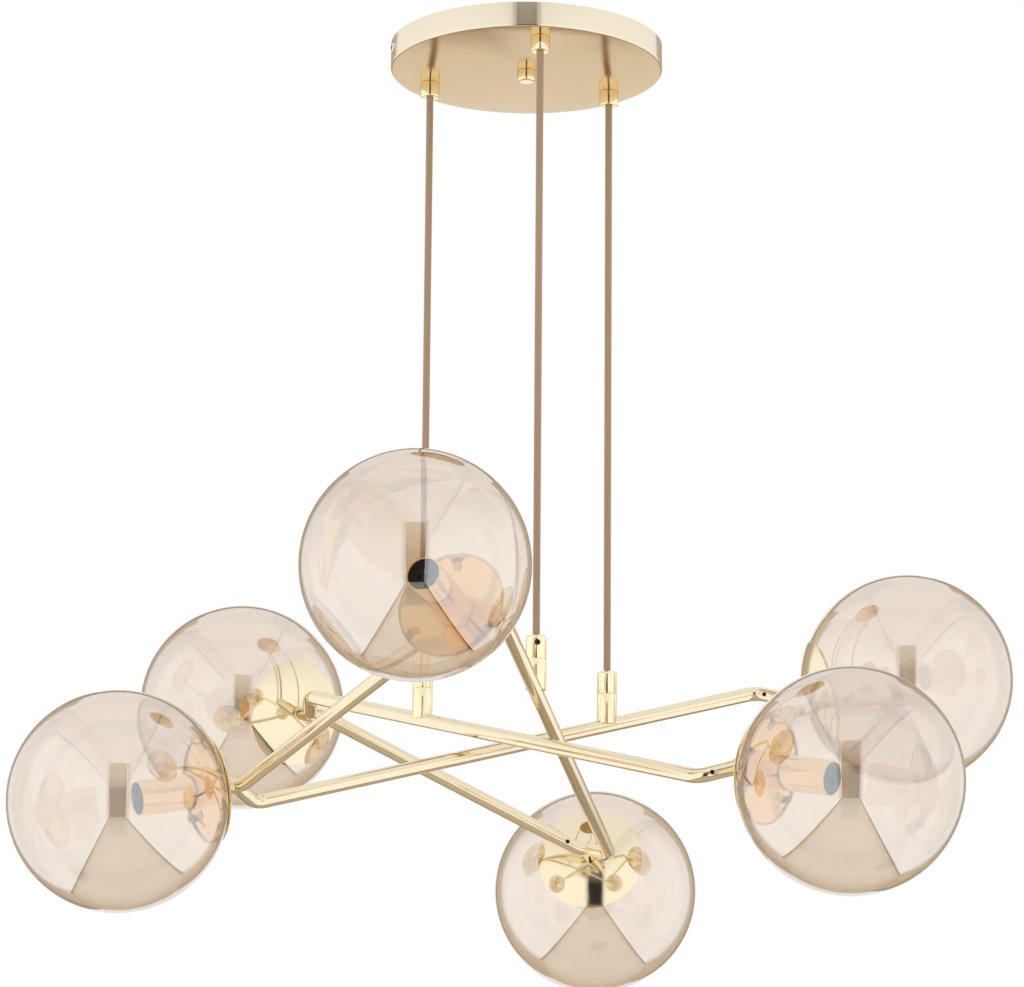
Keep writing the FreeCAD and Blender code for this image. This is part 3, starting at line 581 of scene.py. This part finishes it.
def finish_tube(tube, name, ends):
    """Drills a tube for its set screws, notes their spots and puts it in the frame."""
    for place, into, inset in ends:
        facing = up.cross(into).normalized()
        mouth = place + into * inset + facing * tube_radius
        drill(tube, mouth, -facing, tube_screw_radius + screw_gap, tube_radius)
        tube_screw_spots.append(pointed(mouth - facing * tube_screw_sink, facing))
    close_up(tube, name + "_drawn")
    tube.data.materials.append(warm_gold)
    fit(tube, name)


long_runs = []
for number in (1, 2, 3):
    hubs, corners = tube_corners("lower_%d" % number, "upper_%d" % (number % 3 + 1),
                                 long_inset, long_side, long_rise)
    legs = [(hub - corner).normalized() for hub, corner in zip(hubs, corners)]
    ends = [corner + leg * leg_length for corner, leg in zip(corners, legs)]
    tube = draw_tube([ends[0], *corners, ends[1]])
    finish_tube(tube, "long_tube_%d" % number,
                [(end, -leg, long_screw_inset) for end, leg in zip(ends, legs)])
    long_runs.append(corners)


# Short tubes: three straight lengths of the same tube that close the frame's zig-zag at the outside.
# They sit on the knuckles' other spigots and are cross-drilled in the same way.
short_inset = 0.009
arm_run = 0.005
short_screw_inset = 0.0045

for number in (1, 2, 3):
    hubs, corners = tube_corners("upper_%d" % number, "lower_%d" % number, short_inset, 0, 0)
    along = (corners[1] - corners[0]).normalized()
    ends = [corners[0] + along * arm_run, corners[1] - along * arm_run]
    tube = draw_tube(ends)
    finish_tube(tube, "short_tube_%d" % number,
                [(ends[0], along, short_screw_inset), (ends[1], -along, short_screw_inset)])


# Knuckles: six cast and polished brass pieces, each with a round boss, a stub on the pole of a cap and two
# arms with spigots for the tubes. They are castings with no straight run and keep their solids' shape.
for name in globe_names:
    node = "knuckle_" + name
    bpy.ops.object.select_all(action="DESELECT")
    nodes[node].select_set(True)
    bpy.context.view_layer.objects.active = nodes[node]
    bpy.ops.object.duplicate()
    casting = bpy.context.object
    casting.parent = None
    bpy.ops.object.mode_set(mode="EDIT")
    bpy.ops.mesh.select_all(action="SELECT")
    bpy.ops.mesh.remove_doubles(threshold=1e-6)
    bpy.ops.mesh.customdata_custom_splitnormals_clear()
    close_up(casting, node + "_cast", 30)
    casting.data.materials.clear()
    casting.data.materials.append(warm_gold)
    fit(casting, node)


# Set screws at the tubes' ends: turned from steel and blackened, with a chamfer and a hexagon socket.
# Each is sunk a little below the tube and holds it on its spigot.
screw_chamfer = 0.2
screw_socket = 0.55
screw_socket_depth = 0.6


def socket_screw(radius, length):
    """A headless screw below its own origin, with a chamfer and socket in shares of its size."""
    piece = add_rod(radius, -length, 0, sides=32)
    round_rim(piece, 0, radius * screw_chamfer, segments=1)
    drill(piece, (0, 0, 0), (0, 0, -1), radius * screw_socket, length * screw_socket_depth, sides=6)
    close_up(piece, "socket_screw")
    piece.data.materials.append(blackened)
    return piece


screw = socket_screw(tube_screw_radius, tube_screw_length)
tube_screws = [copy_to(screw, "tube_screw", spot) for spot in tube_screw_spots]
bpy.data.objects.remove(screw)
fit(joined(tube_screws, "tube_screws_socketed"), "tube_screws")


# Cord clamps: a turned stud brazed astride each long tube, and a barrel screwed on it with a fine seam
# between. The barrel's top is well rounded, and a set screw in its side grips the cord.
clamp_station = 0.0737
clamp_radius = 0.007
stud_skirt = 0.001
stud_height = 0.022
barrel_height = 0.017
barrel_round = 0.003
seam = 0.0003
seat_gap = 0.00005
thread_radius = 0.0045
thread_gap = 0.00005
thread_length = 0.005
wire_hole_radius = 0.002
clamp_screw_radius = 0.002
clamp_screw_drop = 0.006
clamp_screw_sink = 0.0005

barrel = add_rod(clamp_radius, 0, barrel_height, sides=64)
round_rim(barrel, barrel_height, barrel_round, segments=8)
step_end(barrel, 1, clamp_radius - barrel_round - cord_hole_radius, -cord_hole_depth)
round_rim(barrel, 0, seam, segments=2)
step_end(barrel, -1, clamp_radius - seam - thread_radius, seat_gap - thread_length)
drill(barrel, (0, 0, seat_gap - thread_length), (0, 0, 1), wire_hole_radius, barrel_height)
drill(barrel, (clamp_radius, 0, barrel_height - clamp_screw_drop), (-1, 0, 0), clamp_screw_radius + screw_gap,
      clamp_radius)
close_up(barrel, "barrel_pattern")
barrel.data.materials.append(turned_painted_bright)

screw = socket_screw(clamp_screw_radius, clamp_radius - clamp_screw_sink - cord_hole_radius)
clamp_screws = []
for number, corners in enumerate(long_runs, start=1):
    along = (corners[1] - corners[0]).normalized()
    point = (corners[0] + corners[1]) / 2 + along * clamp_station
    stud = add_primitive(bpy.ops.mesh.primitive_cylinder_add, vertices=64, radius=clamp_radius,
                         depth=stud_height - stud_skirt, location=point + up * (stud_height + stud_skirt) / 2)
    round_rim(stud, point.z + stud_height, seam, segments=2)
    drill(stud, point - along * 2 * clamp_radius, along, tube_radius + seat_gap, 4 * clamp_radius, sides=96)
    drill(stud, point + up * stud_height, -up, thread_radius + thread_gap, thread_length)
    drill(stud, point + up * stud_height, -up, wire_hole_radius, stud_height)
    close_up(stud, "clamp_stud_%d_turned" % number)
    stud.data.materials.append(turned_painted_bright)
    fit(stud, "clamp_stud_%d" % number)

    out = Vector((point.x, point.y, 0)).normalized()
    foot = point + up * stud_height
    spot = Matrix.Translation(foot) @ Matrix.Rotation(math.atan2(out.y, out.x), 4, "Z")
    fit(copy_to(barrel, "clamp_barrel_%d_turned" % number, spot), "clamp_barrel_%d" % number)
    head = foot + up * (barrel_height - clamp_screw_drop) + out * (clamp_radius - clamp_screw_sink)
    clamp_screws.append(copy_to(screw, "clamp_screw", pointed(head, out)))
bpy.data.objects.remove(barrel)
bpy.data.objects.remove(screw)
fit(joined(clamp_screws, "clamp_screws_socketed"), "clamp_screws")


# Caps: domes spun to carry on the globe's sphere, polished outside and inside. Each sits with a flat at its
# pole on the knuckle's stub, and its rim laps over the mouth of the glass. The inside is painted a warmer,
# deeper gold: painted reflection, for the colour that gold gives back from gold again and again.
cap_inside = 0.0753
cap_wall = 0.0012
cap_rim_height = 0.06507
cap_hole = 0.00405
cap_lip = 0.0004
cap_lip_angle = math.radians(40)
# Painted reflection: the same plating as outside, deepened for the repeated gold-on-gold reflections inside
inner_reflected_gold = (0.97, 0.74, 0.36)
inner_reflected_deep = (0.93, 0.68, 0.30)

inside_painted_reflection = hazed("painted reflection gold inside", (inner_reflected_gold, inner_reflected_deep), patch_scale=60, smooth=0.06, hazy=0.14,
                    scratch=0.02)


def slice_ball(radius, rings, top, foot=None):
    """A ball cut off flat at the top and, where a foot is given, below it too."""
    piece = add_primitive(bpy.ops.mesh.primitive_uv_sphere_add, segments=128, ring_count=rings, radius=radius)
    bpy.ops.object.mode_set(mode="EDIT")
    if foot is not None:
        bpy.ops.mesh.select_all(action="SELECT")
        bpy.ops.mesh.bisect(plane_co=(0, 0, foot), plane_no=(0, 0, 1), clear_inner=True)
    bpy.ops.mesh.select_all(action="SELECT")
    bpy.ops.mesh.bisect(plane_co=(0, 0, top), plane_no=(0, 0, 1), clear_outer=True)
    bpy.ops.object.mode_set(mode="OBJECT")
    return piece


def fit_six(pattern, part, ending):
    """Puts a copy of a pattern at every globe and takes the pattern away."""
    for name in globe_names:
        node = "%s_%s" % (part, name)
        fit(copy_to(pattern, "%s_%s" % (node, ending), globe_spot(name)), node)
    bpy.data.objects.remove(pattern)


cap = slice_ball(cap_inside, 96, math.sqrt(cap_inside ** 2 - cap_hole ** 2), cap_rim_height)
apply_modifier(cap, "SOLIDIFY", thickness=cap_wall, offset=1)
apply_modifier(cap, "BEVEL", width=cap_lip, segments=3, limit_method="ANGLE", angle_limit=cap_lip_angle)
close_up(cap, "cap_pattern")
cap.data.materials.append(warm_gold)
cap.data.materials.append(inside_painted_reflection)
for face in cap.data.polygons:
    if face.normal.dot(face.center) < 0:
        face.material_index = 1
fit_six(cap, "cap", "dome")


# Lamp sleeves: deep-drawn brass cups, polished and plated, that hide the lampholders. Each is held by its
# closed base on the nipple, against the inside of the cap, with its open end in the middle of the globe.
sleeve_radius = 0.012
sleeve_wall = 0.0012
sleeve_base = 0.002
sleeve_mouth = 0.014
sleeve_seat = math.sqrt(cap_inside ** 2 - sleeve_radius ** 2) - seat_gap
sleeve_lip = 0.0003

sleeve = add_rod(sleeve_radius, sleeve_mouth, sleeve_seat, sides=96)
step_end(sleeve, -1, sleeve_wall, sleeve_seat - sleeve_base - sleeve_mouth)
round_rim(sleeve, sleeve_mouth, sleeve_lip, segments=3)
round_rim(sleeve, sleeve_seat, sleeve_lip, segments=3)
drill(sleeve, (0, 0, sleeve_seat), (0, 0, -1), cap_hole, 2 * sleeve_base)
close_up(sleeve, "sleeve_pattern")
# The sleeve takes the inside gold, a painted reflection of the gold round it
sleeve.data.materials.append(inside_painted_reflection)
fit_six(sleeve, "lamp_sleeve", "drawn")


# Lampholders: black ceramic blocks set back in the sleeves' mouths and screwed on the nipples.
# The face has a moulded rim and two holes for the pins of the lamp.
holder_gap = 0.00015
holder_radius = sleeve_radius - sleeve_wall - holder_gap
holder_front = 0.017
holder_back = 0.051
holder_edge = 0.0005
holder_rim = 0.0016
holder_dish = 0.0008
pin_offset = 0.0045
pin_hole_radius = 0.0015
pin_hole_depth = 0.012
nipple_grip = 0.006
holder_black = (0.022, 0.012, 0.01)
holder_dust = (0.045, 0.028, 0.022)

black_ceramic = hazed("black ceramic", (holder_black, holder_dust), patch_scale=120, smooth=0.35, hazy=0.6,
                      metallic=0, scratch=0.15, scratch_depth=0.0002)

holder = add_rod(holder_radius, holder_front, holder_back, sides=64)
round_rim(holder, holder_front, holder_edge, segments=3)
step_end(holder, -1, holder_rim, holder_dish)
for side in (-1, 1):
    drill(holder, (side * pin_offset, 0, holder_front), (0, 0, 1), pin_hole_radius, pin_hole_depth)
drill(holder, (0, 0, holder_back), (0, 0, -1), cap_hole, nipple_grip)
close_up(holder, "holder_pattern")
holder.data.materials.append(black_ceramic)
fit_six(holder, "lampholder", "moulded")


# Spring clips: three bent leaves of bright rolled brass in each cap, with their tongues inside the glass's
# mouth. They are plain bent strips and keep their solids' shape.
spring_bright = (0.72, 0.55, 0.26)
spring_dull = (0.58, 0.42, 0.18)

spring_brass = hazed("rolled spring brass", (spring_bright, spring_dull), patch_scale=200, smooth=0.15,
                     hazy=0.3)
finish_node("glass_clips", spring_brass)


# Globes: blown glass with a champagne tint and a thin lustre fired on its outside, which gives cool
# reflections. The mouth is cut and ground flat, and hides under the cap's rim.
glass_wall = 0.0015
glass_mouth_radius = 0.033
glass_tint = (0.885, 0.81, 0.725)
glass_tint_deep = (0.87, 0.79, 0.70)
glass_edge = (0.76, 0.63, 0.48)
glass_edge_start = 0.45
glass_index = 2.95
lustre_tint = (0.78, 0.9, 1.0)

# Blown glass is never quite even: its wall swells and thins in broad, soft waves
blown_waves, given, result = new_group(
    "blown waves", [("Vector", "Vector")], [("Height", "Float"), ("Tone", "Float")])
slow = add_node(blown_waves, "TexNoise", Vector=given.outputs["Vector"], Scale=14, Detail=1)
blown_waves.links.new(slow.outputs["Fac"], result.inputs["Height"])
blown_waves.links.new(slow.outputs["Fac"], result.inputs["Tone"])

champagne, tree, shader = start_material("champagne lustre glass")
waves = place_group(tree, blown_waves)
two_tones(tree, shader, waves.outputs["Tone"], glass_tint, glass_tint_deep)
bump(tree, shader, waves.outputs["Height"], 0.02, 0.0005)
shader.inputs["Roughness"].default_value = 0
shader.inputs["IOR"].default_value = glass_index
shader.inputs["Transmission Weight"].default_value = 1
shader.inputs["Specular Tint"].default_value = (*lustre_tint, 1)

# Seen edge-on, light has more glass to cross, so the outline of each globe is a deeper amber
facing = add_node(tree, "LayerWeight", Blend=0.5)
edge_on = add_node(tree, "MapRange", Value=facing.outputs["Facing"], From_Min=glass_edge_start, From_Max=1)
body_tint = shader.inputs["Base Color"].links[0].from_socket
deepen = add_node(tree, "Mix", {"data_type": "RGBA"}, Factor=edge_on.outputs["Result"], A=body_tint,
                  B=(*glass_edge, 1))
tree.links.new(deepen.outputs["Result"], shader.inputs["Base Color"])

mouth_height = math.sqrt((globe_radius - glass_wall) ** 2 - glass_mouth_radius ** 2)
glass = slice_ball(globe_radius, 64, mouth_height)
glass.data.materials.append(champagne)
apply_modifier(glass, "SOLIDIFY", thickness=glass_wall, offset=-1)
close_up(glass, "glass_pattern")
fit_six(glass, "glass", "blown")


# Studio: a pale floor well below, a white surround, and a tall soft wall of light along either side.
# Dark cards back the walls and close the gap at the camera; buff ones behind the object edge the glass.
floor_height = -2.2
floor_size = 9
floor_pale = (0.66, 0.58, 0.47)
floor_shade = (0.64, 0.56, 0.45)
floor_lift = (0.5, 0.52, 0.55)
surround_light = 0.45
wall_near = (0.52, -3.2)
wall_far = (1.35, 1.9)
wall_foot = -2.1
wall_top = 1.2
wall_glow = 1.15
wall_fade = 0.75
wall_fade_start = 0.5
wall_soft_end = 0.12
wall_end_glow = 0.5
wall_backing = 0.002
gap_depth = -3.4
gap_top = 1.3
flag_far = (0.95, 4.4)
flag_top = 1.75
flag_reach = 3
felt_black = (0.02, 0.02, 0.02)
felt_worn = (0.025, 0.024, 0.023)
# The cloth's pale top is painted light
cloth_painted_light = (0.72, 0.68, 0.6)
cloth_low = -0.7
cloth_high = 1.2
buff = (0.95, 0.86, 0.72)
buff_shade = (0.92, 0.82, 0.67)

floor_paint = hazed("pale floor", (floor_pale, floor_shade), patch_scale=2, smooth=0.7, hazy=0.85, metallic=0)
tree = floor_paint.node_tree
shader = tree.nodes["Principled BSDF"]
path = tree.nodes.new("ShaderNodeLightPath")
straight = add_math(tree, "MAXIMUM", path.outputs["Is Camera Ray"], path.outputs["Is Transmission Ray"])
lift = add_node(tree, "Mix", {"data_type": "RGBA"}, Factor=straight, A=(0, 0, 0, 1), B=(*floor_lift, 1))
shader.inputs["Emission Strength"].default_value = 1
tree.links.new(lift.outputs["Result"], shader.inputs["Emission Color"])
floor = add_primitive(bpy.ops.mesh.primitive_plane_add, size=floor_size, location=(0, 0, floor_height))
floor.name = "studio_floor"
floor.data.materials.append(floor_paint)

surround = bpy.data.worlds.new("white surround")
surround.use_nodes = True
bpy.context.scene.world = surround
tree = surround.node_tree
light = tree.nodes["Background"]
light.inputs["Color"].default_value = (1, 1, 1, 1)
light.inputs["Strength"].default_value = surround_light
seen = tree.nodes.new("ShaderNodeBackground")
seen.inputs["Color"].default_value = (1, 1, 1, 1)
seen.inputs["Strength"].default_value = 1
path = tree.nodes.new("ShaderNodeLightPath")
shown = path.outputs["Is Camera Ray"]
for ray in ("Is Glossy Ray", "Is Transmission Ray"):
    shown = add_math(tree, "MAXIMUM", shown, path.outputs[ray])
choose = tree.nodes.new("ShaderNodeMixShader")
tree.links.new(shown, choose.inputs["Fac"])
tree.links.new(light.outputs["Background"], choose.inputs[1])
tree.links.new(seen.outputs["Background"], choose.inputs[2])
tree.links.new(choose.outputs["Shader"], tree.nodes["World Output"].inputs["Surface"])


def hang_card(card, name, paint):
    """Adds a studio card that the camera itself never sees, so it can't stand in front of the object."""
    card.name = name
    card.data.materials.append(paint)
    card.visible_camera = False


def stand_card(name, start, finish, top, paint):
    """An upright card between two places on the floor."""
    run = Vector((*finish, 0)) - Vector((*start, 0))
    middle = Vector(((start[0] + finish[0]) / 2, (start[1] + finish[1]) / 2, (floor_height + top) / 2))
    card = add_primitive(bpy.ops.mesh.primitive_plane_add, size=1)
    stretch = Matrix.Diagonal((run.length, top - floor_height, 1, 1))
    card.matrix_world = pointed(middle, run.cross(up)) @ stretch
    bpy.ops.object.transform_apply(location=True, rotation=True, scale=True)
    hang_card(card, name, paint)


def only_in_mirrors(material):
    """Lets straight looks pass a card, through clear glass too, and keeps it for reflections."""
    tree = material.node_tree
    path = tree.nodes.new("ShaderNodeLightPath")
    mirrored = add_math(tree, "GREATER_THAN", path.outputs["Glossy Depth"], 0.5)
    clear = tree.nodes.new("ShaderNodeBsdfTransparent")
    choose = tree.nodes.new("ShaderNodeMixShader")
    tree.links.new(mirrored, choose.inputs["Fac"])
    tree.links.new(clear.outputs["BSDF"], choose.inputs[1])
    tree.links.new(tree.nodes["Principled BSDF"].outputs["BSDF"], choose.inputs[2])
    tree.links.new(choose.outputs["Shader"], tree.nodes["Material Output"].inputs["Surface"])


black_felt = hazed("black felt", (felt_black, felt_worn), patch_scale=3, smooth=0.9, hazy=1, metallic=0)
buff_card = hazed("buff card", (buff, buff_shade), patch_scale=3, smooth=0.9, hazy=1, metallic=0)
only_in_mirrors(buff_card)

# Painted light: the cloth's colour runs from nearly black at the camera to pale towards its top, where it
# would catch more light
dark_cloth, tree, shader = start_material("dark cloth")
haze = place_group(tree, polish_haze, Patch_Scale=3, Smooth=0.9, Hazy=1)
tree.links.new(haze.outputs["Roughness"], shader.inputs["Roughness"])
place = tree.nodes.new("ShaderNodeTexCoord")
split = add_node(tree, "SeparateXYZ", Vector=place.outputs["Object"])
upward = add_node(tree, "MapRange", Value=split.outputs["Z"], From_Min=cloth_low, From_Max=cloth_high)
two_tones(tree, shader, upward.outputs["Result"], felt_black, cloth_painted_light)
only_in_mirrors(dark_cloth)

for side, label in ((-1, "left"), (1, "right")):
    near = Vector((side * wall_near[0], wall_near[1], (wall_foot + wall_top) / 2))
    far = Vector((side * wall_far[0], wall_far[1], (wall_foot + wall_top) / 2))
    along = (far - near).normalized()
    inward = Vector((-side * along.y, side * along.x, 0))
    wall = bpy.data.lights.new("soft_wall", "AREA")
    wall.shape = "RECTANGLE"
    wall.size = (far - near).length
    wall.size_y = wall_top - wall_foot
    wall.energy = wall_glow * math.pi * wall.size * wall.size_y
    wall.use_nodes = True
    tree = wall.node_tree
    spot = tree.nodes.new("ShaderNodeNewGeometry")
    split = add_node(tree, "SeparateXYZ", Vector=spot.outputs["Parametric"])
    fade = add_node(tree, "MapRange", {"interpolation_type": "SMOOTHSTEP"}, Value=split.outputs["Y"],
                    From_Min=wall_fade_start, From_Max=1, To_Min=1, To_Max=wall_fade)
    ends = add_math(tree, "PINGPONG", split.outputs["X"], 0.5)
    soften = add_node(tree, "MapRange", {"interpolation_type": "SMOOTHSTEP"}, Value=ends,
                      From_Max=wall_soft_end, To_Min=wall_end_glow)
    both = add_math(tree, "MULTIPLY", fade.outputs["Result"], soften.outputs["Result"])
    tree.links.new(both, tree.nodes["Emission"].inputs["Strength"])
    lamp = bpy.data.objects.new("soft_wall_" + label, wall)
    bpy.context.scene.collection.objects.link(lamp)
    lamp.location = (near + far) / 2
    lamp.rotation_euler = inward.to_track_quat("-Z", "Y").to_euler()
    lamp.visible_camera = False
    back = inward * -wall_backing
    stand_card("wall_back_" + label, (near + back)[:2], (far + back)[:2], wall_top, black_felt)
    stand_card("edge_flag_" + label, far[:2], (side * flag_far[0], flag_far[1]), flag_top, buff_card)
over = add_primitive(bpy.ops.mesh.primitive_plane_add, size=2)
over.matrix_world = Matrix.Translation((0, (flag_reach + flag_far[1]) / 2, flag_top)) @ Matrix.Diagonal(
    (wall_far[0], (flag_far[1] - flag_reach) / 2, 1, 1))
bpy.ops.object.transform_apply(location=True, rotation=True, scale=True)
hang_card(over, "edge_flag_over", buff_card)
stand_card("camera_gap", (-wall_near[0], gap_depth), (wall_near[0], gap_depth), gap_top, dark_cloth)


# Camera: a long lens in front of the object and below its frame, looking up at it. It is turned and rolled
# a little, as a camera on a stand is.
camera_place = (0, -3.239, ring_middle - 0.615)
camera_pitch = math.radians(13.73)
camera_yaw = math.radians(-0.14)
camera_roll = math.radians(0.46)
image_width = 1024
focal_pixels = 4745

eye = bpy.data.cameras.new("studio_camera")
eye.sensor_width = 36
eye.sensor_fit = "HORIZONTAL"
eye.lens = focal_pixels / image_width * eye.sensor_width
camera = bpy.data.objects.new("studio_camera", eye)
bpy.context.scene.collection.objects.link(camera)
camera.location = camera_place
turned = Euler((0, 0, -camera_yaw)).to_matrix() @ Euler((math.pi / 2 + camera_pitch, 0, 0)).to_matrix()
camera.rotation_euler = (turned @ Euler((0, 0, camera_roll)).to_matrix()).to_euler()
bpy.context.scene.camera = camera
